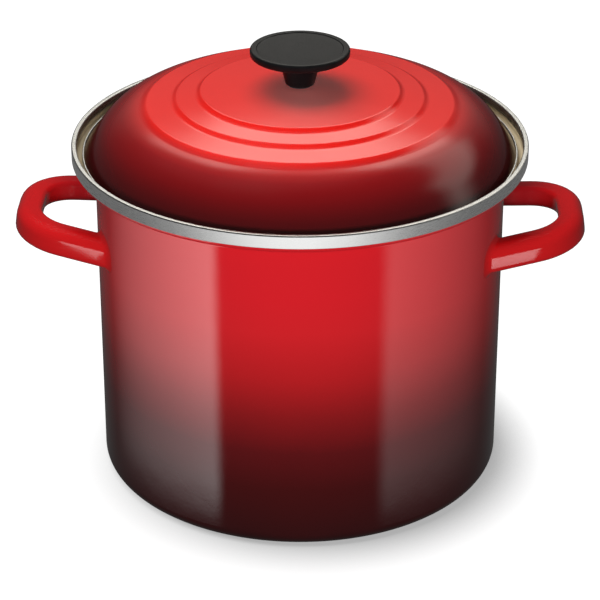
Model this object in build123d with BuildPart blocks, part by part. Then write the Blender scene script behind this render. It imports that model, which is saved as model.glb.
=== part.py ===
from build123d import *

import os
from math import cos, radians, sin, tan

os.makedirs("parts", exist_ok=True)

# Enamelled-steel stock pot with a lift-off lid. Millimetres, +Z up.
# The origin is the centre of the base, on the surface that the pot stands on.
# The two side handles lie on the X axis.

# ---------------------------------------------------------------- driving dimensions
BODY_RADIUS = 117.0          # outside of the straight wall, over the enamel
POT_HEIGHT = 201.0           # floor to the top of the rim band
STEEL = 1.0                  # sheet steel of the pot and of the lid
ENAMEL = 0.3                 # one coat of vitreous enamel
WALL = STEEL + 2 * ENAMEL
BASE_CORNER = 8.0            # outside radius between the base and the wall
RECESS_RADIUS = 92.0         # shallow recess in the base: the pot stands on the ring outside it
RECESS_RAMP = 6.0
RECESS_DEPTH = 1.0
RECESS_CORNER = 3.0

# Mouth of the pot: the wall turns out into a sloping ledge, then stands upright inside a folded steel band.
LIP_RADIUS = 129.3           # outside of the upright lip, over the enamel
LEDGE_ANGLE = 68.0           # lean of the ledge from upright
LEDGE_LOWER_CORNER = 3.0
LEDGE_UPPER_CORNER = 3.0
BAND_SHEET = 0.7
BAND_OUTER_HEIGHT = 7.5
BAND_INNER_HEIGHT = 5.0
BAND_EDGE = 0.55             # rounding of the band's top edges

# Lid. Its heights are measured from the floor, with the lid seated.
LID_CENTRE_Z = 233.6
LID_FLAT_RADIUS = 10.0       # flat spot that the knob stands on
LID_HEM_RADIUS = 123.0       # outside of the upright hem at the lid's edge
LID_HEM_Z = 191.95           # lower edge of the hem
LID_RING_SHEET = 0.9
LID_RING_TOP = 195.6
LID_RING_INNER_TOP = 193.0
LID_RING_CORNER = 1.2
MIN_CORNER = 0.3             # smallest bend radius on the hidden side of a crease

# Knob and the screw that holds it, on the lid's centre line.
KNOB_TOP_Z = 255.6
KNOB_RADIUS = 28.2
KNOB_EDGE_THICKNESS = 4.2
KNOB_EDGE_ROUND = 1.2
KNOB_NECK_RADIUS = 11.4
KNOB_NECK_DEPTH = 8.6        # top face down to where the underside of the disc meets the stem
KNOB_UNDERSIDE_BLEND = 3.0
KNOB_FOOT_RADIUS = 8.2
KNOB_FOOT_ROUND = 0.8
KNOB_DISH_RADIUS = 24.6      # shallow dish in the top face
KNOB_DISH_DEPTH = 0.5
GASKET_RADIUS = 6.8
GASKET_THICKNESS = 0.8
LID_HOLE_RADIUS = 3.0
SCREW_RADIUS = 2.5
SCREW_CLEARANCE = 0.05
SCREW_ENGAGEMENT = 11.0
SCREW_HEAD_RADIUS = 4.8
SCREW_HEAD_HEIGHT = 3.0
SCREW_HEAD_ROUND = 1.2
SCREW_SLOT_WIDTH = 1.3
SCREW_SLOT_DEPTH = 1.5
INSERT_RADIUS = 3.9
INSERT_FLANGE_RADIUS = 5.2
INSERT_FLANGE_HEIGHT = 1.2
INSERT_LENGTH = 12.6
INSERT_BORE_DEPTH = 11.8
WASHER_RADIUS = 7.5
WASHER_THICKNESS = 1.0
WASHER_BORE = 2.7
LOCK_WASHER_RADIUS = 4.4
LOCK_WASHER_THICKNESS = 1.1
LOCK_WASHER_GAP = 1.0

# Side handles: tube bent in a plane that rises outwards. The section is tall on its outer face, and its
# underside rises towards the fingers. Its corners are (up across the plane, out from the path, rounding).
HANDLE_X = 109.2             # reference point on the handle's plane, near the wall
HANDLE_Z = 147.6
HANDLE_TILT = 8.0            # rise of the plane above level
HANDLE_SECTION = ((7.9, -8.2, 3.2), (7.9, 6.3, 7.0), (-9.3, 6.3, 3.5), (-4.2, -8.2, 4.0))
HANDLE_TUBE_WALL = 1.5
HANDLE_ROOT_SPREAD = 42.4    # half the distance between the legs, at the reference point
HANDLE_GRIP_SPREAD = 30.2    # half the length of the grip, between the corners of its path
HANDLE_REACH = 48.3          # reference point to the centre line of the grip
HANDLE_BEND = 29.3
HANDLE_ROOT = 14.0           # length that the legs run inwards, to be trimmed by the wall
WELD_WIDTH = 5.5             # collar round a leg, at the inner end of the leg
WELD_LENGTH = 22.0           # inner end of the leg to where the collar runs out

# ---------------------------------------------------------------- outlines
# Each outline is the outside face from the centre line outwards, as (radius, height, corner).
LIP_BASE_Z = POT_HEIGHT - BAND_OUTER_HEIGHT
LEDGE_TOP_Z = LIP_BASE_Z - LEDGE_UPPER_CORNER * tan(radians(LEDGE_ANGLE / 2))
LEDGE_BASE_Z = LEDGE_TOP_Z - (LIP_RADIUS - BODY_RADIUS) / tan(radians(LEDGE_ANGLE))
LIP_TOP_Z = POT_HEIGHT - BAND_SHEET
POT_OUTLINE = (
    (0, RECESS_DEPTH, 0),
    (RECESS_RADIUS, RECESS_DEPTH, RECESS_CORNER),
    (RECESS_RADIUS + RECESS_RAMP, 0, RECESS_CORNER),
    (BODY_RADIUS, 0, BASE_CORNER),
    (BODY_RADIUS, LEDGE_BASE_Z, LEDGE_LOWER_CORNER),
    (LIP_RADIUS, LEDGE_TOP_Z, LEDGE_UPPER_CORNER),
    (LIP_RADIUS, LIP_TOP_Z, 0),
)
LID_OUTLINE = (
    (0, LID_CENTRE_Z, 0),
    (LID_FLAT_RADIUS, LID_CENTRE_Z, 60.0),
    (56.3, 230.9, 2.0),              # edge of the crown
    (58.3, 228.9, 5.0),              # first groove
    (70.0, 227.3, 2.6),              # edge of the second step
    (72.4, 225.5, 5.0),              # second groove
    (87.0, 223.8, 3.0),              # edge of the third step
    (90.2, 221.7, 10.0),             # foot of the third step
    (107.5, 216.6, 40.0),            # shoulder of the skirt
    (LID_HEM_RADIUS, 194.2, 3.0),
    (LID_HEM_RADIUS, LID_HEM_Z, 0),
)


def parallel(outline, distance):
    """Points and corner radii of an outline moved square to its runs, left of the way it runs."""
    points = [Vector(radius, height) for radius, height, corner in outline]
    runs = [(end - start).normalized() for start, end in zip(points, points[1:])]
    lefts = [Vector(-run.Y, run.X) for run in runs]
    moved = [points[0] + lefts[0] * distance]
    corners = []
    for index in range(1, len(runs)):
        before, after = lefts[index - 1], lefts[index]
        moved.append(points[index] + (before + after) * (distance / (1 + before.dot(after))))
        turns_left = runs[index - 1].cross(runs[index]).Z > 0
        shrink = distance if turns_left else -distance
        corners.append(max(outline[index][2] - shrink, MIN_CORNER))
    moved.append(points[-1] + lefts[-1] * distance)
    return moved, corners


def coat(outline, near, far):
    """Section of the layer between two parallels of an outline, added to the open sketch."""
    near_points, near_corners = parallel(outline, near)
    far_points, far_corners = parallel(outline, far)
    with BuildLine() as section:
        FilletPolyline(*near_points, radius=near_corners)
        FilletPolyline(*far_points, radius=far_corners)
        Line(near_points[0], far_points[0])
        Line(near_points[-1], far_points[-1])
    make_face(section.edges())


# ---------------------------------------------------------------- side handles
tilt = radians(HANDLE_TILT)
handle_plane = Plane(origin=(HANDLE_X, 0, HANDLE_Z), x_dir=(cos(tilt), 0, sin(tilt)),
                     z_dir=(-sin(tilt), 0, cos(tilt)))
root_spread = HANDLE_ROOT_SPREAD + (HANDLE_ROOT_SPREAD - HANDLE_GRIP_SPREAD) * HANDLE_ROOT / HANDLE_REACH
with BuildLine(handle_plane) as handle_path:
    FilletPolyline((-HANDLE_ROOT, -root_spread), (HANDLE_REACH, -HANDLE_GRIP_SPREAD),
                   (HANDLE_REACH, HANDLE_GRIP_SPREAD), (-HANDLE_ROOT, root_spread),
                   radius=HANDLE_BEND)
path = handle_path.wire()
leg_start = Plane(origin=path @ 0, x_dir=handle_plane.z_dir, z_dir=path % 0)


def handle_section(growth):
    """Section of the handle, grown by an amount all round, or shrunk if the amount is negative."""
    with BuildLine() as outline:
        FilletPolyline(*[(up, out) for up, out, corner in HANDLE_SECTION],
                       radius=[corner for up, out, corner in HANDLE_SECTION], close=True)
    make_face(outline.edges())
    if growth:
        offset(amount=growth)


def wall_trim(radius):
    """Cut away what lies inside the pot's wall, up to the given radius."""
    Cylinder(radius, POT_HEIGHT, align=(Align.CENTER, Align.CENTER, Align.MIN), mode=Mode.SUBTRACT)


with BuildPart() as right_weld_blanks:
    with BuildSketch(leg_start):
        handle_section(WELD_WIDTH)
    with BuildSketch(leg_start.offset(WELD_LENGTH)):
        handle_section(-ENAMEL)
    loft()
    mirror(about=Plane.XZ)

# The bare tube, filled, which the collars fit round.
with BuildPart() as right_handle_bar:
    with BuildSketch(leg_start):
        handle_section(-ENAMEL)
    sweep(path=path)

with BuildPart() as right_handle:
    add(right_handle_bar.part)
    with BuildSketch(leg_start):
        handle_section(-ENAMEL - HANDLE_TUBE_WALL)
    sweep(path=path, mode=Mode.SUBTRACT)
    wall_trim(BODY_RADIUS - ENAMEL)

with BuildPart() as right_handle_welds:
    add(right_weld_blanks.part)
    add(right_handle_bar.part, mode=Mode.SUBTRACT)
    wall_trim(BODY_RADIUS - ENAMEL)

with BuildPart() as right_handle_enamel:
    with BuildSketch(leg_start):
        handle_section(0)
    sweep(path=path)
    add(right_handle_bar.part, mode=Mode.SUBTRACT)
    add(right_weld_blanks.part, mode=Mode.SUBTRACT)
    wall_trim(BODY_RADIUS)

# The left handle is the right one mirrored.
for name, piece in (("handle", right_handle), ("handle_welds", right_handle_welds),
                    ("handle_enamel", right_handle_enamel)):
    piece.part.label = "right_" + name
    export_step(piece.part, f"parts/right_{name}.step")
    with BuildPart() as left_piece:
        add(mirror(piece.part, about=Plane.YZ, mode=Mode.PRIVATE))
    left_piece.part.label = "left_" + name
    export_step(left_piece.part, f"parts/left_{name}.step")

# ---------------------------------------------------------------- pot
with BuildPart() as pot_shell:
    with BuildSketch(Plane.XZ):
        coat(POT_OUTLINE, ENAMEL, ENAMEL + STEEL)
    revolve(axis=Axis.Z)
pot_shell.part.label = "pot_shell"
export_step(pot_shell.part, "parts/pot_shell.step")

with BuildPart() as pot_interior_enamel:
    with BuildSketch(Plane.XZ):
        coat(POT_OUTLINE, ENAMEL + STEEL, WALL)
    revolve(axis=Axis.Z)
pot_interior_enamel.part.label = "pot_interior_enamel"
export_step(pot_interior_enamel.part, "parts/pot_interior_enamel.step")

# The outside coat is red on the wall and a dark ground coat under the base.
COAT_BREAK_RADIUS = BODY_RADIUS - BASE_CORNER

with BuildPart() as pot_exterior_enamel:
    with BuildSketch(Plane.XZ):
        coat(POT_OUTLINE, 0, ENAMEL)
    revolve(axis=Axis.Z)
    Cylinder(COAT_BREAK_RADIUS, POT_HEIGHT, align=(Align.CENTER, Align.CENTER, Align.CENTER),
             mode=Mode.SUBTRACT)
    for blanks in (right_weld_blanks.part, mirror(right_weld_blanks.part, about=Plane.YZ,
                                                  mode=Mode.PRIVATE)):
        add(blanks, mode=Mode.SUBTRACT)
pot_exterior_enamel.part.label = "pot_exterior_enamel"
export_step(pot_exterior_enamel.part, "parts/pot_exterior_enamel.step")

with BuildPart() as base_ground_coat:
    with BuildSketch(Plane.XZ):
        coat(POT_OUTLINE, 0, ENAMEL)
    revolve(axis=Axis.Z)
    Cylinder(COAT_BREAK_RADIUS, 2 * BASE_CORNER, mode=Mode.INTERSECT)
base_ground_coat.part.label = "base_ground_coat"
export_step(base_ground_coat.part, "parts/base_ground_coat.step")

# Stainless band folded over the lip, gripping it from both sides.
with BuildPart() as pot_rim_band:
    with BuildSketch(Plane.XZ):
        with BuildLine():
            inner_radius = LIP_RADIUS - WALL
            Polyline((LIP_RADIUS, LIP_TOP_Z), (LIP_RADIUS, LIP_BASE_Z), (LIP_RADIUS + BAND_SHEET, LIP_BASE_Z))
            FilletPolyline((LIP_RADIUS + BAND_SHEET, LIP_BASE_Z), (LIP_RADIUS + BAND_SHEET, POT_HEIGHT),
                           (inner_radius - BAND_SHEET, POT_HEIGHT),
                           (inner_radius - BAND_SHEET, POT_HEIGHT - BAND_INNER_HEIGHT), radius=BAND_EDGE)
            Polyline((inner_radius - BAND_SHEET, POT_HEIGHT - BAND_INNER_HEIGHT),
                     (inner_radius, POT_HEIGHT - BAND_INNER_HEIGHT), (inner_radius, LIP_TOP_Z),
                     (LIP_RADIUS, LIP_TOP_Z))
        make_face()
    revolve(axis=Axis.Z)
pot_rim_band.part.label = "pot_rim_band"
export_step(pot_rim_band.part, "parts/pot_rim_band.step")

# ---------------------------------------------------------------- lid
LID_COATS = (
    ("lid_exterior_enamel", 0, ENAMEL),
    ("lid_shell", ENAMEL, ENAMEL + STEEL),
    ("lid_underside_enamel", ENAMEL + STEEL, WALL),
)
for label, near, far in LID_COATS:
    with BuildPart() as lid_piece:
        with BuildSketch(Plane.XZ):
            coat(LID_OUTLINE, -near, -far)
        revolve(axis=Axis.Z)
        Cylinder(LID_HOLE_RADIUS, 2 * LID_CENTRE_Z, mode=Mode.SUBTRACT)
    lid_piece.part.label = label
    export_step(lid_piece.part, f"parts/{label}.step")

# Stainless ring that wraps the lid's hem and rests on the ledge in the pot's mouth.
hem_inner = LID_HEM_RADIUS - WALL
ring_outer = LID_HEM_RADIUS + LID_RING_SHEET
ring_inner = hem_inner - LID_RING_SHEET
ring_base = LID_HEM_Z - LID_RING_SHEET
with BuildPart() as lid_ring:
    with BuildSketch(Plane.XZ):
        with BuildLine():
            FilletPolyline((ring_outer, LID_RING_TOP), (ring_outer, ring_base), (ring_inner, ring_base),
                           (ring_inner, LID_RING_INNER_TOP), radius=LID_RING_CORNER)
            Polyline((ring_inner, LID_RING_INNER_TOP), (hem_inner, LID_RING_INNER_TOP), (hem_inner, LID_HEM_Z),
                     (LID_HEM_RADIUS, LID_HEM_Z), (LID_HEM_RADIUS, LID_RING_TOP), (ring_outer, LID_RING_TOP))
        make_face()
    revolve(axis=Axis.Z)
    top_edges = lid_ring.edges().filter_by(GeomType.CIRCLE).group_by(Axis.Z)[-1]
    fillet(top_edges, radius=LID_RING_SHEET / 3)
lid_ring.part.label = "lid_ring"
export_step(lid_ring.part, "parts/lid_ring.step")

# ---------------------------------------------------------------- knob
knob_foot_z = LID_CENTRE_Z + GASKET_THICKNESS
neck_z = KNOB_TOP_Z - KNOB_NECK_DEPTH
edge_z = KNOB_TOP_Z - KNOB_EDGE_THICKNESS


def insert_outline():
    """Half section of the flanged insert, closed along the centre line."""
    with BuildLine() as section:
        Polyline((0, knob_foot_z), (INSERT_FLANGE_RADIUS, knob_foot_z),
                 (INSERT_FLANGE_RADIUS, knob_foot_z + INSERT_FLANGE_HEIGHT),
                 (INSERT_RADIUS, knob_foot_z + INSERT_FLANGE_HEIGHT),
                 (INSERT_RADIUS, knob_foot_z + INSERT_LENGTH), (0, knob_foot_z + INSERT_LENGTH),
                 (0, knob_foot_z))
    make_face(section.edges())


with BuildPart() as knob_insert:
    with BuildSketch(Plane.XZ):
        insert_outline()
    revolve(axis=Axis.Z)
    with Locations((0, 0, knob_foot_z)):
        Cylinder(SCREW_RADIUS + SCREW_CLEARANCE, INSERT_BORE_DEPTH,
                 align=(Align.CENTER, Align.CENTER, Align.MIN), mode=Mode.SUBTRACT)
knob_insert.part.label = "knob_insert"
export_step(knob_insert.part, "parts/knob_insert.step")

with BuildPart() as knob:
    with BuildSketch(Plane.XZ):
        with BuildLine():
            Polyline((0, knob_foot_z), (0, KNOB_TOP_Z - KNOB_DISH_DEPTH),
                     (KNOB_DISH_RADIUS - KNOB_DISH_DEPTH, KNOB_TOP_Z - KNOB_DISH_DEPTH),
                     (KNOB_DISH_RADIUS, KNOB_TOP_Z))
            FilletPolyline((KNOB_DISH_RADIUS, KNOB_TOP_Z), (KNOB_RADIUS, KNOB_TOP_Z), (KNOB_RADIUS, edge_z),
                           (KNOB_NECK_RADIUS, neck_z), (KNOB_FOOT_RADIUS, knob_foot_z), (0, knob_foot_z),
                           radius=[KNOB_EDGE_ROUND, KNOB_EDGE_ROUND, KNOB_UNDERSIDE_BLEND, KNOB_FOOT_ROUND])
        make_face()
    revolve(axis=Axis.Z)
    with BuildSketch(Plane.XZ):
        insert_outline()
    revolve(axis=Axis.Z, mode=Mode.SUBTRACT)
knob.part.label = "knob"
export_step(knob.part, "parts/knob.step")

with BuildPart() as knob_gasket:
    with BuildSketch(Plane.XY.offset(LID_CENTRE_Z)):
        Circle(GASKET_RADIUS)
        Circle(LID_HOLE_RADIUS, mode=Mode.SUBTRACT)
    extrude(amount=GASKET_THICKNESS)
knob_gasket.part.label = "knob_gasket"
export_step(knob_gasket.part, "parts/knob_gasket.step")

# Under the lid: flat washer, split lock washer, then the head of the screw.
washer_z = LID_CENTRE_Z - WALL - WASHER_THICKNESS
lock_washer_z = washer_z - LOCK_WASHER_THICKNESS

with BuildPart() as knob_washer:
    with BuildSketch(Plane.XY.offset(washer_z)):
        Circle(WASHER_RADIUS)
        Circle(WASHER_BORE, mode=Mode.SUBTRACT)
    extrude(amount=WASHER_THICKNESS)
knob_washer.part.label = "knob_washer"
export_step(knob_washer.part, "parts/knob_washer.step")

with BuildPart() as knob_lock_washer:
    with BuildSketch(Plane.XY.offset(lock_washer_z)):
        Circle(LOCK_WASHER_RADIUS)
        Circle(WASHER_BORE, mode=Mode.SUBTRACT)
        Rectangle(2 * LOCK_WASHER_RADIUS, LOCK_WASHER_GAP, align=(Align.MIN, Align.CENTER),
                  mode=Mode.SUBTRACT)
    extrude(amount=LOCK_WASHER_THICKNESS)
knob_lock_washer.part.label = "knob_lock_washer"
export_step(knob_lock_washer.part, "parts/knob_lock_washer.step")

with BuildPart() as knob_screw:
    with BuildSketch(Plane.XY.offset(lock_washer_z)):
        Circle(SCREW_HEAD_RADIUS)
    extrude(amount=-SCREW_HEAD_HEIGHT)
    fillet(knob_screw.edges().group_by(Axis.Z)[0], radius=SCREW_HEAD_ROUND)
    with BuildSketch(Plane.XY.offset(lock_washer_z)):
        Circle(SCREW_RADIUS)
    extrude(amount=knob_foot_z + SCREW_ENGAGEMENT - lock_washer_z)
    chamfer(knob_screw.edges().group_by(Axis.Z)[-1], length=SCREW_RADIUS / 4)
    with BuildSketch(Plane.XY.offset(lock_washer_z - SCREW_HEAD_HEIGHT)):
        Rectangle(2 * SCREW_HEAD_RADIUS, SCREW_SLOT_WIDTH)
    extrude(amount=SCREW_SLOT_DEPTH, mode=Mode.SUBTRACT)
knob_screw.part.label = "knob_screw"
export_step(knob_screw.part, "parts/knob_screw.step")
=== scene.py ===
from math import cos, pi, radians, sin, sqrt, tan

import bmesh
import bpy
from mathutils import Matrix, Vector


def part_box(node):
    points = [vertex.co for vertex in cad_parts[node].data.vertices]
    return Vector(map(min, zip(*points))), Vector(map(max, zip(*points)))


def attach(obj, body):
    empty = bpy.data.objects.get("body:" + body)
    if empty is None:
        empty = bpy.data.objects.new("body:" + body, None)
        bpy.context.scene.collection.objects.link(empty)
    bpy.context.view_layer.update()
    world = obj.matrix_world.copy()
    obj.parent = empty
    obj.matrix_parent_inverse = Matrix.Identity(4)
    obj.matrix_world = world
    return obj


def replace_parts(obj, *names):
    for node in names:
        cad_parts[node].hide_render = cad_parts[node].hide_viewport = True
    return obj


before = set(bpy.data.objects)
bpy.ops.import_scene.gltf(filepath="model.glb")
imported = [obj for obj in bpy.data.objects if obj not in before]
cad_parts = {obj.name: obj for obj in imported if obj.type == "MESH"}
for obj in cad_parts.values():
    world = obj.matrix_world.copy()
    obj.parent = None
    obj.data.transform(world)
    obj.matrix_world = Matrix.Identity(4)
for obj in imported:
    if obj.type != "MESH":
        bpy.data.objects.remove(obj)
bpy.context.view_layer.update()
MM = 0.001


def mm(*values):
    return tuple(value * MM for value in values)


def degrees(*values):
    return tuple(radians(value) for value in values)


# ---------------------------------------------------------------- sizes, from the frame where it has them
RIM_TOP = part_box("pot_rim_band")[1].z
RIM_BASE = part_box("pot_rim_band")[0].z
RIM_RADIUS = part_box("pot_rim_band")[1].y
LIP_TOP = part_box("pot_exterior_enamel")[1].z
LIP_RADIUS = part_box("pot_exterior_enamel")[1].y
RING_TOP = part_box("lid_ring")[1].z
RING_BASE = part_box("lid_ring")[0].z
RING_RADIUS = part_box("lid_ring")[1].y
HEM_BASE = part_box("lid_exterior_enamel")[0].z
HEM_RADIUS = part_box("lid_exterior_enamel")[1].y
LID_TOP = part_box("lid_exterior_enamel")[1].z
KNOB_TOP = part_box("knob")[1].z
KNOB_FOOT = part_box("knob")[0].z
KNOB_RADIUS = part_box("knob")[1].y
INSERT_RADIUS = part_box("knob_insert")[1].y
INSERT_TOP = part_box("knob_insert")[1].z

ENAMEL, STEEL = mm(0.3, 1.0)
WALL = STEEL + 2 * ENAMEL
BODY_RADIUS = 117.0 * MM
LEDGE_ANGLE = radians(68)
LEDGE_CORNER = 3.0 * MM
LEDGE_TOP = RIM_BASE - LEDGE_CORNER * tan(LEDGE_ANGLE / 2)
LEDGE_BASE = LEDGE_TOP - (LIP_RADIUS - BODY_RADIUS) / tan(LEDGE_ANGLE)
BASE_CORNER, BASE_HOLLOW, BASE_BEND = mm(8.0, 1.0, 3.0)
HOLLOW_RADIUS, FOOT_RING_RADIUS = mm(92.0, 98.0)
COAT_BREAK = BODY_RADIUS - BASE_CORNER
LID_HOLE, LID_FLAT_RADIUS, LID_CROWN_BEND = mm(3.0, 10.0, 60.0)
HEM_TOP, HEM_BEND = mm(194.2, 3.0)

# Half outlines of the outside faces, from the centre line outwards: (radius, height, corner).
POT_OUTLINE = [
    (0, BASE_HOLLOW, 0),
    (HOLLOW_RADIUS, BASE_HOLLOW, BASE_BEND),
    (FOOT_RING_RADIUS, 0, BASE_BEND),
    (BODY_RADIUS, 0, BASE_CORNER),
    (BODY_RADIUS, LEDGE_BASE, LEDGE_CORNER),
    (LIP_RADIUS, LEDGE_TOP, LEDGE_CORNER),
    (LIP_RADIUS, LIP_TOP, 0),
]
LID_OUTLINE = [
    (0, LID_TOP, 0),
    (LID_FLAT_RADIUS, LID_TOP, LID_CROWN_BEND),
    mm(56.3, 230.9, 2.0),        # edge of the crown
    mm(58.3, 228.9, 5.0),        # first groove
    mm(70.0, 227.3, 2.6),        # edge of the second step
    mm(72.4, 225.5, 5.0),        # second groove
    mm(87.0, 223.8, 3.0),        # edge of the third step
    mm(90.2, 221.7, 10.0),       # foot of the third step
    mm(107.5, 216.6, 40.0),      # shoulder of the skirt
    (HEM_RADIUS, HEM_TOP, HEM_BEND),
    (HEM_RADIUS, HEM_BASE, 0),
]

# ---------------------------------------------------------------- mesh tools
TURN_STEPS = 288
ARC_STEPS = 10
STRAIGHT_TURN = 0.001
LEAST_CORNER = 0.3 * MM
WELD_REACH = 0.002 * MM
SLIVER_REACH = 0.0005 * MM


def corner_arc(before, corner, after, steps):
    """Points of the arc that rounds a corner, each with its direction from the arc's centre."""
    here = Vector(corner[:2])
    back = (Vector(before[:2]) - here).normalized()
    ahead = (Vector(after[:2]) - here).normalized()
    turn = pi - back.angle(ahead)
    if corner[2] <= 0 or turn < STRAIGHT_TURN:
        return [(here, None)]
    centre = here + (back + ahead).normalized() * (corner[2] / cos(turn / 2))
    arm = here + back * (corner[2] * tan(turn / 2)) - centre
    sign = -1 if back.cross(ahead) > 0 else 1
    arc = []
    for step in range(steps + 1):
        angle = sign * turn * step / steps
        way = Vector((arm.x * cos(angle) - arm.y * sin(angle), arm.x * sin(angle) + arm.y * cos(angle)))
        arc.append((centre + way, way.normalized()))
    return arc


def rounded(points):
    """Path of an outline with each corner turned into an arc of its own radius."""
    path = [Vector(points[0][:2])]
    for before, corner, after in zip(points, points[1:], points[2:]):
        path += [place for place, way in corner_arc(before, corner, after, ARC_STEPS)]
    path.append(Vector(points[-1][:2]))
    return path


def parallel(points, distance):
    """The outline moved by a distance to the left of the way it runs, with its corner radii."""
    places = [Vector(point[:2]) for point in points]
    runs = [(end - start).normalized() for start, end in zip(places, places[1:])]
    lefts = [Vector((-run.y, run.x)) for run in runs]
    moved = [(*(places[0] + lefts[0] * distance), 0)]
    for index in range(1, len(runs)):
        before, after = lefts[index - 1], lefts[index]
        place = places[index] + (before + after) * (distance / (1 + before.dot(after)))
        shrink = distance if runs[index - 1].cross(runs[index]) > 0 else -distance
        moved.append((*place, max(points[index][2] - shrink, LEAST_CORNER)))
    moved.append((*(places[-1] + lefts[-1] * distance), 0))
    return moved


def from_radius(path, radius):
    """The part of a path beyond a radius, starting exactly on it."""
    for index, (start, end) in enumerate(zip(path, path[1:])):
        if start.x <= radius < end.x:
            cut = start.lerp(end, (radius - start.x) / (end.x - start.x))
            return [cut] + path[index + 1:]
    return path


def tube_faces(rows, columns, closed=False):
    """Faces between rings of points, one ring a row. A closed tube joins its last ring to its first."""
    faces = []
    for row in range(rows if closed else rows - 1):
        a, b = row * columns, (row + 1) % rows * columns
        for step in range(columns):
            after = (step + 1) % columns
            faces.append((a + step, a + after, b + after, b + step))
    return faces


def make_object(name, vertices, faces):
    mesh = bpy.data.meshes.new(name)
    mesh.from_pydata(vertices, [], faces)
    mesh.update()
    mesh.shade_smooth()
    piece = bpy.data.objects.new(name, mesh)
    bpy.context.scene.collection.objects.link(piece)
    return piece


def finish_mesh(piece, sharp=40):
    """Weld what coincides, point the faces outwards, and keep hard edges hard."""
    work = bmesh.new()
    work.from_mesh(piece.data)
    bmesh.ops.remove_doubles(work, verts=work.verts, dist=WELD_REACH)
    bmesh.ops.dissolve_degenerate(work, edges=work.edges, dist=SLIVER_REACH)
    bmesh.ops.recalc_face_normals(work, faces=work.faces)
    work.to_mesh(piece.data)
    work.free()
    piece.data.set_sharp_from_angle(angle=radians(sharp))
    return piece


def turned(name, path):
    """Closed ring of revolution about Z, from a closed path of (radius, height) points."""
    angles = [2 * pi * step / TURN_STEPS for step in range(TURN_STEPS)]
    vertices = []
    for point in path:
        vertices += [(point.x * cos(angle), point.x * sin(angle), point.y) for angle in angles]
    return finish_mesh(make_object(name, vertices, tube_faces(len(path), TURN_STEPS, closed=True)))


def coat(name, outline, near, far, start=0.0):
    """Layer between two parallels of an outline, from a start radius outwards."""
    outer = from_radius(rounded(parallel(outline, near)), start)
    inner = from_radius(rounded(parallel(outline, far)), start)
    return turned(name, outer + inner[::-1])


# ---------------------------------------------------------------- side handles
HANDLE_X, HANDLE_Z, HANDLE_TILT = 109.2 * MM, 147.6 * MM, radians(8)
# Corners of the handle's section: up across its plane, out from its path, and rounding.
HANDLE_SECTION = [mm(7.9, -8.2, 3.2), mm(7.9, 6.3, 7.0), mm(-9.3, 6.3, 3.5), mm(-4.2, -8.2, 4.0)]
ROOT_SPREAD, GRIP_SPREAD, HANDLE_REACH, HANDLE_BEND = mm(42.4, 30.2, 48.3, 29.3)
FOOT_FILLET, EMBED = mm(3.6, 0.15)
FOOT_STEPS, SECTION_STEPS, LEG_STEPS = 9, 7, 6
HANDLE_SHARP = 70


def handle_section():
    """Points of the section as (up, out), and the outward direction at each."""
    points = []
    for index, corner in enumerate(HANDLE_SECTION):
        after = HANDLE_SECTION[(index + 1) % len(HANDLE_SECTION)]
        points += corner_arc(HANDLE_SECTION[index - 1], corner, after, SECTION_STEPS)
    return points


def handle_line():
    """Centre line in the handle's plane, from wall to wall."""
    return rounded([(0, -ROOT_SPREAD, 0), (HANDLE_REACH, -GRIP_SPREAD, HANDLE_BEND),
                    (HANDLE_REACH, GRIP_SPREAD, HANDLE_BEND), (0, ROOT_SPREAD, 0)])


def run_to_wall(point, way):
    """Distance from a point, along a direction, to just inside the pot's wall."""
    wall = BODY_RADIUS - EMBED
    a = way.x * way.x + way.y * way.y
    b = point.x * way.x + point.y * way.y
    c = point.x * point.x + point.y * point.y - wall * wall
    return (-b - sqrt(max(b * b - a * c, 0.0))) / a


def leg_rings(base, way):
    """Sections along one leg from its bend, the last of them flaring onto the wall in a fillet."""
    runs = [run_to_wall(place, way) - FOOT_FILLET for place, normal in base]
    rings = []
    for step in range(1, LEG_STEPS):
        share = step / LEG_STEPS
        rings.append([place + way * (run * share) for (place, normal), run in zip(base, runs)])
    for step in range(FOOT_STEPS + 1):
        angle = pi / 2 * step / FOOT_STEPS
        rise = FOOT_FILLET * (1 - sin(angle))
        swell = FOOT_FILLET * (1 - cos(angle))
        starts = [place + normal * swell for place, normal in base]
        rings.append([start + way * (run_to_wall(start, way) - rise) for start in starts])
    return rings


def handle(side, name):
    """One looped handle, with its legs run out onto the pot's wall."""
    section = handle_section()
    across = Vector((cos(HANDLE_TILT), 0, sin(HANDLE_TILT)))
    up = Vector((-sin(HANDLE_TILT), 0, cos(HANDLE_TILT)))
    origin = Vector((HANDLE_X, 0, HANDLE_Z))
    line = [origin + across * flat.x + Vector((0, flat.y, 0)) for flat in handle_line()]
    legs = []
    for tip, bend, sign in ((line[0], line[1], 1), (line[-1], line[-2], -1)):
        way = (tip - bend).normalized()
        outward = up.cross(way).normalized() * sign
        base = [(bend + up * point.x + outward * point.y, up * normal.x + outward * normal.y)
                for point, normal in section]
        legs.append(leg_rings(base, way))
    loop_rings = []
    for before, here, after in zip(line, line[1:], line[2:]):
        outward = (after - before).normalized().cross(up).normalized()
        loop_rings.append([here + up * point.x + outward * point.y for point, normal in section])
    rings = legs[0][::-1] + loop_rings + legs[1]
    vertices = [(side * place.x, place.y, place.z) for ring in rings for place in ring]
    size = len(section)
    faces = tube_faces(len(rings), size)
    faces.append(tuple(range(size)))
    faces.append(tuple(range((len(rings) - 1) * size, len(rings) * size)))
    return finish_mesh(make_object(name, vertices, faces), sharp=HANDLE_SHARP)


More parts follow.
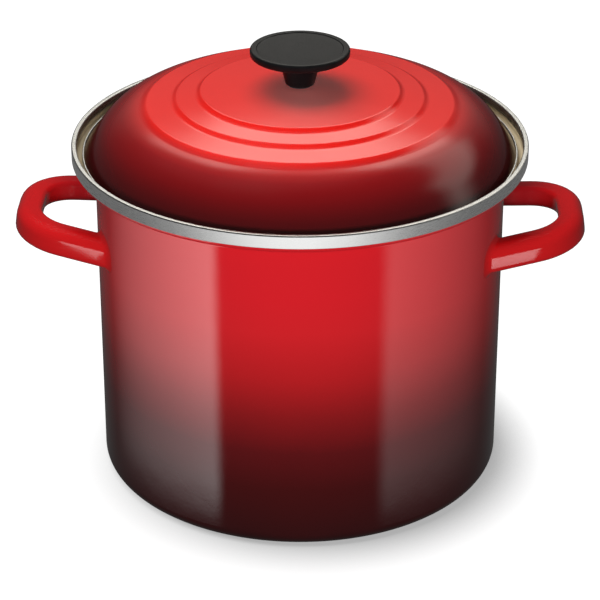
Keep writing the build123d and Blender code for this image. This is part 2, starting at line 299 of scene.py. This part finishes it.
# ---------------------------------------------------------------- node tools
class Shader:
    """A new material with a Principled shader, and short ways to wire its procedural inputs."""

    def __init__(self, name, **constants):
        self.material = bpy.data.materials.new(name)
        self.material.use_nodes = True
        self.tree = self.material.node_tree
        self.surface = self.tree.nodes["Principled BSDF"]
        for socket, value in constants.items():
            self.surface.inputs[socket.replace("_", " ")].default_value = value
        self.place = self.add("ShaderNodeTexCoord").outputs["Object"]

    def add(self, kind, **settings):
        node = self.tree.nodes.new(kind)
        for key, value in settings.items():
            setattr(node, key, value)
        return node

    def wire(self, value, socket):
        if isinstance(value, (int, float, tuple, list)):
            socket.default_value = value
        else:
            self.tree.links.new(value, socket)

    def math(self, operation, *values):
        node = self.add("ShaderNodeMath", operation=operation)
        for value, socket in zip(values, node.inputs):
            self.wire(value, socket)
        return node.outputs[0]

    def split(self, vector):
        node = self.add("ShaderNodeSeparateXYZ")
        self.wire(vector, node.inputs[0])
        return node.outputs

    def join(self, x, y, z):
        node = self.add("ShaderNodeCombineXYZ")
        for value, socket in zip((x, y, z), node.inputs):
            self.wire(value, socket)
        return node.outputs[0]

    def around(self):
        """Turn of the place about the Z axis, its distance from that axis, and its height."""
        x, y, z = self.split(self.place)
        square = self.math("ADD", self.math("MULTIPLY", x, x), self.math("MULTIPLY", y, y))
        return self.math("ARCTAN2", y, x), self.math("SQRT", square), z

    def squeezed(self, share):
        """The place with its Y made small, so that noise on it runs in lines along Y."""
        x, y, z = self.split(self.place)
        return self.join(x, self.math("MULTIPLY", y, share), z)

    def noise(self, vector, scale, detail=3.0, roughness=0.5):
        node = self.add("ShaderNodeTexNoise")
        self.wire(vector, node.inputs["Vector"])
        node.inputs["Scale"].default_value = scale
        node.inputs["Detail"].default_value = detail
        node.inputs["Roughness"].default_value = roughness
        return node.outputs["Fac"]

    def spots(self, vector, scale):
        node = self.add("ShaderNodeTexVoronoi")
        self.wire(vector, node.inputs["Vector"])
        node.inputs["Scale"].default_value = scale
        return node.outputs["Distance"]

    def span(self, value, low, high, to_low=0.0, to_high=1.0, smooth=False):
        node = self.add("ShaderNodeMapRange", interpolation_type="SMOOTHSTEP" if smooth else "LINEAR")
        for item, socket in zip((value, low, high, to_low, to_high), node.inputs):
            self.wire(item, socket)
        return node.outputs[0]

    def window(self, value, low, high, soft):
        """One between two limits and nothing outside them, with soft ends."""
        rise = self.span(value, low - soft, low + soft, 0.0, 1.0, smooth=True)
        fall = self.span(value, high - soft, high + soft, 1.0, 0.0, smooth=True)
        return self.math("MULTIPLY", rise, fall)

    def ramp(self, value, stops):
        node = self.add("ShaderNodeValToRGB")
        self.wire(value, node.inputs[0])
        elements = node.color_ramp.elements
        while len(elements) < len(stops):
            elements.new(1.0)
        for element, (position, colour) in zip(elements, stops):
            element.position = position
            element.color = (*colour, 1.0)
        return node.outputs["Color"]

    def mix(self, factor, first, second):
        node = self.add("ShaderNodeMix", data_type="RGBA")
        self.wire(factor, node.inputs[0])
        for value, socket in ((first, node.inputs[6]), (second, node.inputs[7])):
            self.wire((*value, 1.0) if isinstance(value, tuple) else value, socket)
        return node.outputs[2]

    def bump(self, height, distance, strength=1.0, normal=None):
        node = self.add("ShaderNodeBump")
        self.wire(height, node.inputs["Height"])
        node.inputs["Distance"].default_value = distance
        node.inputs["Strength"].default_value = strength
        if normal is not None:
            self.wire(normal, node.inputs["Normal"])
        return node.outputs[0]

    def finish(self, colour=None, roughness=None, normal=None):
        for value, name in ((colour, "Base Color"), (roughness, "Roughness"), (normal, "Normal")):
            if value is not None:
                self.wire(value, self.surface.inputs[name])
        return self.material


# ---------------------------------------------------------------- materials
MIDDLE = (0.3, 0.7)                # where most of a noise's values lie
ENAMEL_IOR = PHENOLIC_IOR = 1.5
ENAMEL_GLOSS, LID_GLOSS, GLOSS_DRIFT = 0.08, 0.14, 0.06
CLOUD_DRIFT, SPECK_DRIFT = 0.045, 0.03

BRIGHT_RED = (0.72, 0.0135, 0.021)
MID_RED = (0.36, 0.0085, 0.012)
DEEP_RED = (0.110, 0.0050, 0.0065)
DARK_RED = (0.033, 0.0035, 0.0040)
# The body's fade is partly the enamel's spray and partly painted shade; the darkest stop, at the very foot,
# is painted shade where the pot meets the floor.
BODY_FADE = mm(0.0, 170.0)         # heights
BODY_SHADES = ((0.0, (0.008, 0.0015, 0.0018)), (0.05, DARK_RED), (0.22, (0.058, 0.0035, 0.004)),
               (0.36, DEEP_RED), (0.50, (0.27, 0.0080, 0.010)),
               (0.64, (0.50, 0.0115, 0.015)), (0.80, (0.68, 0.0150, 0.021)), (0.92, BRIGHT_RED))
# The lid's fade is partly the enamel's spray and partly painted light and shade: painted light on the crown,
# painted shade down the skirt.
LID_FADE = mm(87.0, 122.0)         # radii
LID_SHADES = ((0.0, (0.86, 0.0135, 0.009)), (0.10, (0.60, 0.011, 0.010)), (0.28, (0.36, 0.0070, 0.0075)),
              (0.40, (0.26, 0.0045, 0.006)), (0.66, (0.170, 0.0035, 0.005)), (0.86, (0.078, 0.0030, 0.004)),
              (1.0, DARK_RED))
# Handles are darker low down, partly the spray's fade and partly painted shade under the loop.
HANDLE_FADE = mm(110.0, 150.0)     # heights
HANDLE_SHADES = ((0.0, DEEP_RED), (0.35, MID_RED), (1.0, (0.62, 0.009, 0.011)))
HANDLE_LOW_SHADE = 0.35            # where the lowest height falls on the handle's shades
# Painted shade on the far legs where they meet the wall, set by place and not by the lights.
FAR_LEG, LEG_SHADE = mm(-5.0, 25.0), mm(130.0, 156.0)
FAR_LEG_PAINTED_SHADE = 0.70

# Pairs of a darker and a lighter shade of each plain material.
SAND = ((0.64, 0.52, 0.33), (0.72, 0.60, 0.40))
SAND_SPECK, SPECK_STRENGTH = (0.36, 0.27, 0.16), 0.25
GROUND_BLACK = ((0.012, 0.012, 0.014), (0.035, 0.033, 0.034))
RIM_STEEL = ((0.60, 0.60, 0.595), (0.68, 0.68, 0.67))
BARE_STEEL = ((0.30, 0.30, 0.31), (0.38, 0.38, 0.39))
BRIGHT_STEEL = ((0.60, 0.60, 0.60), (0.70, 0.70, 0.69))
PHENOLIC_BLACK = ((0.0050, 0.0050, 0.0055), (0.011, 0.011, 0.0115))
RUBBER_BLACK = ((0.02, 0.02, 0.02), (0.05, 0.05, 0.05))
BRASS = ((0.56, 0.38, 0.12), (0.70, 0.50, 0.20))
FLOOR_GREY = ((0.24, 0.24, 0.24), (0.26, 0.26, 0.26))

# The floor's glow in the open and right beside the pot, where a painted contact shadow dims it, and how that
# painted shadow grows towards the right.
FLOOR_GLOW, CONTACT_GLOW = 0.95, 0.36
CONTACT_REACH, FULL_CONTACT = 34.0 * MM, 0.60
SHADE_SHARE, SHADE_LEAN = 0.9, 3.8


def enamel_surface(shader, gloss=ENAMEL_GLOSS):
    """Gloss enamel's slightly uneven skin: long ripples, fine orange peel and a few pinholes."""
    ripple = shader.noise(shader.place, scale=28.0, detail=2.0)
    peel = shader.noise(shader.place, scale=420.0, detail=2.0)
    pins = shader.span(shader.spots(shader.place, scale=260.0), 0.0, 0.09, smooth=True)
    normal = shader.bump(ripple, distance=0.25 * MM, strength=0.5)
    normal = shader.bump(peel, distance=0.02 * MM, strength=0.5, normal=normal)
    normal = shader.bump(pins, distance=0.03 * MM, strength=0.35, normal=normal)
    smear = shader.noise(shader.place, scale=16.0, detail=4.0, roughness=0.6)
    return normal, shader.span(smear, 0.3, 0.75, gloss, gloss + GLOSS_DRIFT)


def red_enamel(name, measure, stops, gloss=ENAMEL_GLOSS):
    """Red enamel sprayed darker towards one edge, with painted shade worked into the same fade. The shade
    follows a measure of place.
    """
    shader = Shader(name, IOR=ENAMEL_IOR)
    cloud = shader.noise(shader.place, scale=14.0, detail=3.0, roughness=0.6)
    speck = shader.noise(shader.place, scale=900.0, detail=2.0, roughness=0.7)
    drift = shader.math("MULTIPLY_ADD", shader.math("SUBTRACT", cloud, 0.5), CLOUD_DRIFT, measure(shader))
    drift = shader.math("MULTIPLY_ADD", shader.math("SUBTRACT", speck, 0.5), SPECK_DRIFT, drift)
    colour = shader.ramp(drift, stops)
    normal, roughness = enamel_surface(shader, gloss)
    return shader.finish(colour, roughness, normal)


def body_share(shader):
    """The body is darkest at its foot, from the spray's fade and painted shade."""
    turn, radius, height = shader.around()
    return shader.span(height, *BODY_FADE)


def lid_share(shader):
    """The lid is darkest at its hem, from the spray's fade and painted shade; its bright crown is partly
    painted light.
    """
    turn, radius, height = shader.around()
    return shader.span(radius, *LID_FADE)


def handle_share(shader):
    """Handles are darkest low down, partly the spray's fade and partly painted shade, and carry painted
    shade where their far legs come to the wall.
    """
    x, y, z = shader.split(shader.place)
    height = shader.span(z, *HANDLE_FADE, HANDLE_LOW_SHADE, 1.0)
    far = shader.span(y, *FAR_LEG, smooth=True)
    inward = shader.span(shader.math("ABSOLUTE", x), *LEG_SHADE, 1.0, 0.0, smooth=True)
    return shader.math("MULTIPLY_ADD", shader.math("MULTIPLY", far, inward), -FAR_LEG_PAINTED_SHADE, height)


def sand_enamel():
    """Sand-coloured inside enamel with darker specks."""
    shader = Shader("sand_enamel", IOR=ENAMEL_IOR)
    cloud = shader.noise(shader.place, scale=20.0, detail=4.0, roughness=0.6)
    speck = shader.span(shader.spots(shader.place, scale=330.0), 0.05, 0.16, 1.0, 0.0, smooth=True)
    base = shader.mix(shader.span(cloud, *MIDDLE), *SAND)
    colour = shader.mix(shader.math("MULTIPLY", speck, SPECK_STRENGTH), base, SAND_SPECK)
    normal, roughness = enamel_surface(shader)
    return shader.finish(colour, roughness, normal)


def ground_coat():
    """Black ground coat under the base, scuffed by being slid about."""
    shader = Shader("ground_coat", IOR=ENAMEL_IOR)
    cloud = shader.noise(shader.place, scale=60.0, detail=4.0, roughness=0.7)
    scuff = shader.noise(shader.squeezed(0.06), scale=700.0, detail=2.0)
    colour = shader.mix(shader.span(cloud, 0.35, 0.7), *GROUND_BLACK)
    roughness = shader.span(scuff, 0.4, 0.7, 0.2, 0.42)
    return shader.finish(colour, roughness, shader.bump(cloud, distance=0.05 * MM, strength=0.5))


def rim_steel():
    """Stainless strip polished round the pot: fine lines follow the rim."""
    shader = Shader("band_steel", Metallic=1.0, Anisotropic=0.85)
    tangent = shader.add("ShaderNodeTangent", direction_type="RADIAL", axis="Z")
    shader.wire(tangent.outputs[0], shader.surface.inputs["Tangent"])
    turn, radius, height = shader.around()
    lines = shader.join(shader.math("MULTIPLY", turn, 0.004), radius, height)
    grain = shader.noise(lines, scale=5200.0, detail=3.0, roughness=0.6)
    cloud = shader.noise(shader.place, scale=34.0, detail=3.0)
    colour = shader.mix(shader.span(grain, *MIDDLE), *RIM_STEEL)
    roughness = shader.math("ADD", shader.span(grain, *MIDDLE, 0.24, 0.34),
                            shader.span(cloud, *MIDDLE, -0.02, 0.03))
    return shader.finish(colour, roughness, shader.bump(grain, distance=0.01 * MM, strength=0.4))


def plain_metal(name, shades, roughness_low, roughness_high, scale=240.0, detail=4.0):
    """Bare metal with cloudy patches of shade and polish."""
    shader = Shader(name, Metallic=1.0)
    cloud = shader.noise(shader.place, scale, detail, roughness=0.6)
    colour = shader.mix(shader.span(cloud, *MIDDLE), *shades)
    roughness = shader.span(cloud, *MIDDLE, roughness_low, roughness_high)
    return shader.finish(colour, roughness, shader.bump(cloud, distance=0.01 * MM, strength=0.4))


def brass():
    shader = Shader("brass", Metallic=1.0)
    cloud = shader.noise(shader.place, scale=500.0, detail=3.0, roughness=0.6)
    roughness = shader.span(cloud, *MIDDLE, 0.25, 0.4)
    normal = shader.bump(cloud, distance=0.01 * MM, strength=0.4)
    return shader.finish(shader.mix(cloud, *BRASS), roughness, normal)


def phenolic():
    """Moulded black phenolic: satin, faintly mottled, with fine scratches on the top."""
    shader = Shader("phenolic", IOR=PHENOLIC_IOR, Specular_IOR_Level=0.2)
    grain = shader.noise(shader.place, scale=1500.0, detail=3.0, roughness=0.7)
    cloud = shader.noise(shader.place, scale=90.0, detail=4.0, roughness=0.65)
    scratch = shader.noise(shader.squeezed(0.05), scale=1900.0, detail=2.0)
    colour = shader.mix(shader.span(cloud, 0.3, 0.75), *PHENOLIC_BLACK)
    worn = shader.math("ADD", shader.span(grain, *MIDDLE, 0.26, 0.38),
                       shader.span(scratch, 0.55, 0.7, 0.0, 0.08))
    return shader.finish(colour, worn, shader.bump(grain, distance=0.03 * MM, strength=0.5))


def rubber():
    shader = Shader("gasket_rubber")
    grain = shader.noise(shader.place, scale=900.0, detail=3.0, roughness=0.7)
    roughness = shader.span(grain, *MIDDLE, 0.6, 0.8)
    normal = shader.bump(grain, distance=0.05 * MM, strength=0.6)
    return shader.finish(shader.mix(grain, *RUBBER_BLACK), roughness, normal)


def floor_white():
    """Pale floor that glows a little, with a painted contact shadow close beside whatever stands on it,
    deepest on the right.
    """
    shader = Shader("floor_white", Roughness=1.0, Specular_IOR_Level=0.0)
    shader.surface.inputs["Emission Color"].default_value = (1.0, 1.0, 1.0, 1.0)
    # Painted contact shadow: nearness to other things dims the glow, whatever the lights do.
    painted_shadow_nearness = shader.add("ShaderNodeAmbientOcclusion", samples=16)
    painted_shadow_nearness.inputs["Distance"].default_value = CONTACT_REACH
    lean = shader.math("MULTIPLY_ADD", shader.split(shader.place)[0], SHADE_LEAN, SHADE_SHARE)
    shade = shader.math("MULTIPLY", shader.math("SUBTRACT", 1.0, painted_shadow_nearness.outputs["AO"]), lean)
    glow = shader.span(shade, 0.0, FULL_CONTACT, FLOOR_GLOW, CONTACT_GLOW)
    shader.wire(glow, shader.surface.inputs["Emission Strength"])
    cloud = shader.noise(shader.place, scale=3.0, detail=2.0)
    return shader.finish(shader.mix(cloud, *FLOOR_GREY))


def dress(piece, material):
    piece.data.materials.append(material)
    return piece


def dress_node(node, material):
    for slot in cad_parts[node].material_slots:
        slot.material = material


body_red = red_enamel("body_red_enamel", body_share, BODY_SHADES)
lid_red = red_enamel("lid_red_enamel", lid_share, LID_SHADES, LID_GLOSS)
handle_red = red_enamel("handle_red_enamel", handle_share, HANDLE_SHADES)
sand = sand_enamel()
band_steel = rim_steel()
bare_steel = plain_metal("bare_steel", BARE_STEEL, 0.35, 0.5)
bright_steel = plain_metal("bright_steel", BRIGHT_STEEL, 0.18, 0.3)

# ---------------------------------------------------------------- pot
pot_coat = coat("pot_red_coat", POT_OUTLINE, 0.0, ENAMEL, start=COAT_BREAK)
dress(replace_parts(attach(pot_coat, "pot"), "pot_exterior_enamel"), body_red)

inside = coat("pot_sand_coat", POT_OUTLINE, ENAMEL + STEEL, WALL)
dress(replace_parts(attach(inside, "pot"), "pot_interior_enamel"), sand)

BAND_SHEET = RIM_RADIUS - LIP_RADIUS
BAND_DEPTH, BAND_FOOT_BEND, BAND_BEND, EDGE_BEND = mm(5.0, 0.3, 0.8, 0.25)
mouth = LIP_RADIUS - WALL
band_base = RIM_TOP - BAND_DEPTH
band = turned("rim_band", rounded([
    (LIP_RADIUS, LIP_TOP, 0), (LIP_RADIUS, RIM_BASE, 0), (RIM_RADIUS, RIM_BASE, BAND_FOOT_BEND),
    (RIM_RADIUS, RIM_TOP, BAND_BEND), (mouth - BAND_SHEET, RIM_TOP, BAND_BEND),
    (mouth - BAND_SHEET, band_base, EDGE_BEND), (mouth, band_base, 0), (mouth, LIP_TOP, 0)]))
dress(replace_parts(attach(band, "pot"), "pot_rim_band"), band_steel)

loops = []
for side, word in ((-1, "left"), (1, "right")):
    loop = handle(side, word + "_loop_handle")
    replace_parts(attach(loop, "pot"), word + "_handle", word + "_handle_enamel", word + "_handle_welds")
    dress(loop, handle_red)
    loops.append(loop)

dress_node("base_ground_coat", ground_coat())
dress_node("pot_shell", bare_steel)

# ---------------------------------------------------------------- lid
lid_coat = coat("lid_red_coat", LID_OUTLINE, 0.0, -ENAMEL, start=LID_HOLE)
dress(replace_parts(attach(lid_coat, "lid"), "lid_exterior_enamel"), lid_red)

lid_inside = coat("lid_sand_coat", LID_OUTLINE, -ENAMEL - STEEL, -WALL, start=LID_HOLE)
dress(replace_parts(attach(lid_inside, "lid"), "lid_underside_enamel"), sand)

RING_SHEET = RING_RADIUS - HEM_RADIUS
RING_DEPTH, RING_TOP_BEND, RING_BEND = mm(1.95, 0.4, 1.2)
hem_inner = HEM_RADIUS - WALL
ring_inner_top = RING_BASE + RING_DEPTH
ring = turned("lid_edge_ring", rounded([
    (HEM_RADIUS, HEM_BASE, 0), (HEM_RADIUS, RING_TOP, EDGE_BEND), (RING_RADIUS, RING_TOP, RING_TOP_BEND),
    (RING_RADIUS, RING_BASE, RING_BEND), (hem_inner - RING_SHEET, RING_BASE, RING_BEND),
    (hem_inner - RING_SHEET, ring_inner_top, EDGE_BEND), (hem_inner, ring_inner_top, 0),
    (hem_inner, HEM_BASE, 0)]))
dress(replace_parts(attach(ring, "lid"), "lid_ring"), band_steel)
dress_node("lid_shell", bare_steel)

# ---------------------------------------------------------------- knob
DISH_RADIUS, DISH_DEPTH, DISH_FLOOR_BEND, DISH_LIP_BEND = mm(24.6, 0.5, 0.3, 0.4)
EDGE_THICKNESS, TOP_BEND, UNDER_BEND = mm(4.2, 1.3, 1.6)
NECK_RADIUS, NECK_DEPTH, NECK_BEND, FOOT_RADIUS, FOOT_BEND = mm(11.4, 8.6, 4.0, 8.2, 0.8)
INSERT_STEM, INSERT_FLANGE = mm(3.9, 1.2)
grip = turned("knob_grip", rounded([
    (0, KNOB_TOP - DISH_DEPTH, 0), (DISH_RADIUS - DISH_DEPTH, KNOB_TOP - DISH_DEPTH, DISH_FLOOR_BEND),
    (DISH_RADIUS, KNOB_TOP, DISH_LIP_BEND), (KNOB_RADIUS, KNOB_TOP, TOP_BEND),
    (KNOB_RADIUS, KNOB_TOP - EDGE_THICKNESS, UNDER_BEND), (NECK_RADIUS, KNOB_TOP - NECK_DEPTH, NECK_BEND),
    (FOOT_RADIUS, KNOB_FOOT, FOOT_BEND), (INSERT_RADIUS, KNOB_FOOT, 0),
    (INSERT_RADIUS, KNOB_FOOT + INSERT_FLANGE, 0), (INSERT_STEM, KNOB_FOOT + INSERT_FLANGE, 0),
    (INSERT_STEM, INSERT_TOP, 0), (0, INSERT_TOP, 0)]))
dress(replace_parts(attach(grip, "lid"), "knob"), phenolic())
dress_node("knob_insert", brass())
dress_node("knob_gasket", rubber())
for node in ("knob_screw", "knob_washer", "knob_lock_washer"):
    dress_node(node, bright_steel)

# Fittings stay out of reflections, so that the enamel shows only the studio.
fittings = [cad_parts[node] for node in
            ("knob_insert", "knob_gasket", "knob_screw", "knob_washer", "knob_lock_washer")]
for piece in [band, ring, grip, *loops, *fittings]:
    piece.visible_glossy = False

# ---------------------------------------------------------------- camera
VIEW_HEIGHT, VIEW_DISTANCE = mm(97.0, 1440.0)
VIEW_RISE, VIEW_TURN = degrees(27.2, 1.7)
LENS, SENSOR = 146.7, 36.0
target = Vector((0, 0, VIEW_HEIGHT))
away = Vector((sin(VIEW_TURN) * cos(VIEW_RISE), -cos(VIEW_TURN) * cos(VIEW_RISE), sin(VIEW_RISE)))
camera = bpy.data.objects.new("camera", bpy.data.cameras.new("camera"))
camera.location = target + away * VIEW_DISTANCE
camera.rotation_euler = (-away).to_track_quat("-Z", "Y").to_euler()
camera.data.lens = LENS
camera.data.sensor_width = SENSOR
bpy.context.scene.collection.objects.link(camera)
bpy.context.scene.camera = camera

# ---------------------------------------------------------------- floor and studio light
FLOOR_HALF = 6.0
floor_corners = [(x * FLOOR_HALF, y * FLOOR_HALF, 0.0) for x, y in ((-1, -1), (1, -1), (1, 1), (-1, 1))]
floor = make_object("floor", floor_corners, [(0, 1, 2, 3)])
dress(floor, floor_white())
floor.visible_glossy = False
floor.visible_diffuse = False


def softbox(name, place, aim, size, power):
    """Soft rectangular light, aimed at a point and kept out of reflections."""
    light = bpy.data.lights.new(name, "AREA")
    light.shape = "RECTANGLE"
    light.size, light.size_y = size
    light.energy = power
    lamp = bpy.data.objects.new(name, light)
    lamp.location = place
    lamp.rotation_euler = (Vector(aim) - Vector(place)).to_track_quat("-Z", "Y").to_euler()
    lamp.visible_camera = False
    lamp.visible_glossy = False
    bpy.context.scene.collection.objects.link(lamp)


softbox("top_softbox", place=(-0.30, 0.50, 1.40), aim=(0.0, 0.0, 0.10), size=(1.2, 1.2), power=19.0)
softbox("front_softbox", place=(0.0, -1.60, 0.45), aim=(0.0, 0.0, 0.12), size=(0.5, 0.3), power=20.0)

# ---------------------------------------------------------------- reflectors
CARD_RADIUS, RIM_CARD_RADIUS, PATCH_RADIUS = mm(420.0, 400.0, 430.0)
CARD_LOW, CARD_HIGH = mm(-230.0, 110.0)
CARD_STEP = 2.0
# A side card's light: heights where it starts and where it grows to full, what each adds, and its fade.
CARD_FOOT, CARD_FOOT_LEVEL = mm(-226.0, -179.0), 0.72
CARD_BODY, CARD_BODY_LEVEL = mm(-145.0, -85.0), 0.28
CARD_FADE = 1.5
# What the polished rim faces, by share of a half turn from the front: white ahead, greyer to both sides.
RIM_GLOW = 1.38
RIM_SHADES = ((0.0, 1.0), (0.10, 1.0), (0.117, 0.83), (0.178, 0.58), (0.203, 0.42), (0.239, 0.26),
              (0.305, 0.15), (0.378, 0.10), (0.46, 0.08))
PATCH_GLOW, PATCH_MOTTLE = 2.6, 2.4

DOME_RADIUS = 3.0
DOME_ROWS, DOME_COLUMNS = 12, 48
DOME_SINK = 2.0
DOME_TINT = (1.0, 0.97, 0.88)
# The dome holds a wash behind the pot, a bright bar across that, and a slanted pane on the right.
WASH_SIDE, WASH_RISE, WASH_SOFT = degrees(135, 165), degrees(12, 62), radians(8)
WASH_GROWTH, WASH_LEVELS = degrees(12, 38), (0.15, 0.33)
BAR_SIDE, BAR_RISE, BAR_SOFT, BAR_LEVEL = degrees(146, 162), degrees(37.5, 58), radians(3), 3.0
PANE_SIDE, PANE_SIDE_SOFT = degrees(92, 150), radians(7)
PANE_RISE, PANE_RISE_SOFT = degrees(22, 44), radians(5)
PANE_SLANT, PANE_PIVOT, PANE_LEVEL = 0.25, radians(97), 1.4


def reflector(name, sheet_mesh, pieces, emission, tint=(1.0, 1.0, 1.0)):
    """Glowing sheet that only the given pieces' gloss sees. Its light follows from place on it."""
    sheet = make_object(name, *sheet_mesh)
    sheet.visible_camera = sheet.visible_diffuse = sheet.visible_shadow = sheet.visible_transmission = False
    receivers = bpy.data.collections.new(name + "_receivers")
    for piece in pieces:
        receivers.objects.link(piece)
    sheet.light_linking.receiver_collection = receivers
    shader = Shader(name)
    glow = shader.add("ShaderNodeEmission")
    glow.inputs["Color"].default_value = (*tint, 1.0)
    shader.wire(emission(shader, *shader.split(shader.place)), glow.inputs["Strength"])
    clear = shader.add("ShaderNodeBsdfTransparent")
    both = shader.add("ShaderNodeAddShader")
    shader.tree.links.new(glow.outputs[0], both.inputs[0])
    shader.tree.links.new(clear.outputs[0], both.inputs[1])
    shader.tree.links.new(both.outputs[0], shader.tree.nodes["Material Output"].inputs["Surface"])
    dress(sheet, shader.material)


def bearing_of(shader, x, y):
    """Turn from the front, to the right as seen from there."""
    return shader.math("ARCTAN2", x, shader.math("MULTIPLY", y, -1.0))


def curved_sheet(radius, start, end, low, high):
    """Upright sheet on a circle round the pot, between two bearings from the front in degrees."""
    steps = max(2, round(abs(end - start) / CARD_STEP))
    vertices = []
    for step in range(steps + 1):
        bearing = radians(start + (end - start) * step / steps)
        vertices += [(radius * sin(bearing), -radius * cos(bearing), height) for height in (low, high)]
    faces = [(2 * step, 2 * step + 2, 2 * step + 3, 2 * step + 1) for step in range(steps)]
    return vertices, faces


def dome_sheet():
    vertices = []
    for row in range(DOME_ROWS + 1):
        rise = radians(90.0 * row / DOME_ROWS - DOME_SINK)
        for column in range(DOME_COLUMNS):
            turn = 2 * pi * column / DOME_COLUMNS
            vertices.append((DOME_RADIUS * cos(rise) * cos(turn), DOME_RADIUS * cos(rise) * sin(turn),
                             DOME_RADIUS * sin(rise)))
    return vertices, tube_faces(DOME_ROWS + 1, DOME_COLUMNS)


def side_card(name, side, first, full, last, power):
    """Tall card beside the pot: brightest near its front edge, fading round to the back and dimmer below."""
    def emission(shader, x, y, z):
        turn = shader.math("ABSOLUTE", bearing_of(shader, x, y))
        fade = shader.span(turn, radians(full), radians(last), 1.0, 0.0)
        fade = shader.math("POWER", fade, CARD_FADE)
        edge = shader.span(turn, radians(first), radians(full), smooth=True)
        foot = shader.span(z, *CARD_FOOT, 0.0, CARD_FOOT_LEVEL, smooth=True)
        rest = shader.span(z, *CARD_BODY, 0.0, CARD_BODY_LEVEL, smooth=True)
        level = shader.math("MULTIPLY", shader.math("ADD", foot, rest), power)
        return shader.math("MULTIPLY", shader.math("MULTIPLY", fade, edge), level)

    sheet_mesh = curved_sheet(CARD_RADIUS, side * first, side * last, CARD_LOW, CARD_HIGH)
    reflector(name, sheet_mesh, [pot_coat], emission)


def rim_emission(shader, x, y, z):
    turn = shader.math("DIVIDE", shader.math("ABSOLUTE", bearing_of(shader, x, y)), pi)
    shade = shader.ramp(turn, [(place, (level, level, level)) for place, level in RIM_SHADES])
    return shader.math("MULTIPLY", shade, RIM_GLOW)


def patch_emission(shader, x, y, z):
    mottle = shader.noise(shader.place, scale=30.0, detail=2.0)
    return shader.math("MULTIPLY_ADD", mottle, PATCH_MOTTLE, PATCH_GLOW)


def dome_emission(shader, x, y, z):
    bearing = bearing_of(shader, x, y)
    side = shader.math("ABSOLUTE", bearing)
    rise = shader.math("ARCSINE", shader.math("DIVIDE", z, DOME_RADIUS))
    behind = shader.span(side, *WASH_SIDE, smooth=True)
    wash = shader.math("MULTIPLY", behind, shader.window(rise, *WASH_RISE, WASH_SOFT))
    wash = shader.math("MULTIPLY", wash, shader.span(rise, *WASH_GROWTH, *WASH_LEVELS))
    middle = shader.span(side, *BAR_SIDE, smooth=True)
    bar = shader.math("MULTIPLY", middle, shader.window(rise, *BAR_RISE, BAR_SOFT))
    lifted = shader.math("ADD", rise, PANE_SLANT * PANE_PIVOT)
    slanted = shader.math("MULTIPLY_ADD", bearing, -PANE_SLANT, lifted)
    pane = shader.math("MULTIPLY", shader.window(bearing, *PANE_SIDE, PANE_SIDE_SOFT),
                       shader.window(slanted, *PANE_RISE, PANE_RISE_SOFT))
    total = shader.math("MULTIPLY_ADD", bar, BAR_LEVEL, wash)
    return shader.math("MULTIPLY_ADD", pane, PANE_LEVEL, total)


side_card("left_card", side=-1, first=36.6, full=43.6, last=121.0, power=3.4)
side_card("right_card", side=1, first=39.5, full=48.3, last=121.0, power=1.15)
rim_sheet = curved_sheet(RIM_CARD_RADIUS, start=-178.0, end=178.0, low=-160.0 * MM, high=200.0 * MM)
left_sheet = curved_sheet(PATCH_RADIUS, start=-37.6, end=-43.8, low=-20.0 * MM, high=190.0 * MM)
right_sheet = curved_sheet(PATCH_RADIUS, start=38.0, end=45.6, low=-40.0 * MM, high=120.0 * MM)
reflector("rim_card", rim_sheet, [band, ring], rim_emission)
reflector("left_patch", left_sheet, loops, patch_emission)
reflector("right_patch", right_sheet, loops, patch_emission)
reflector("dome", dome_sheet(), [lid_coat, grip, band, ring], dome_emission, DOME_TINT)

# ---------------------------------------------------------------- world
FILL_LEVEL = 0.09


def studio_world():
    """Plain pale world to the camera, and a low even fill for everything else."""
    world = bpy.data.worlds.new("studio")
    bpy.context.scene.world = world
    world.use_nodes = True
    tree = world.node_tree
    tree.nodes.clear()
    sky = tree.nodes.new("ShaderNodeBackground")
    path = tree.nodes.new("ShaderNodeLightPath")
    level = tree.nodes.new("ShaderNodeMath")
    level.operation = "MAXIMUM"
    level.inputs[1].default_value = FILL_LEVEL
    output = tree.nodes.new("ShaderNodeOutputWorld")
    tree.links.new(path.outputs["Is Camera Ray"], level.inputs[0])
    tree.links.new(level.outputs[0], sky.inputs["Strength"])
    tree.links.new(sky.outputs[0], output.inputs[0])


studio_world()
bpy.context.scene.view_settings.view_transform = "Standard"
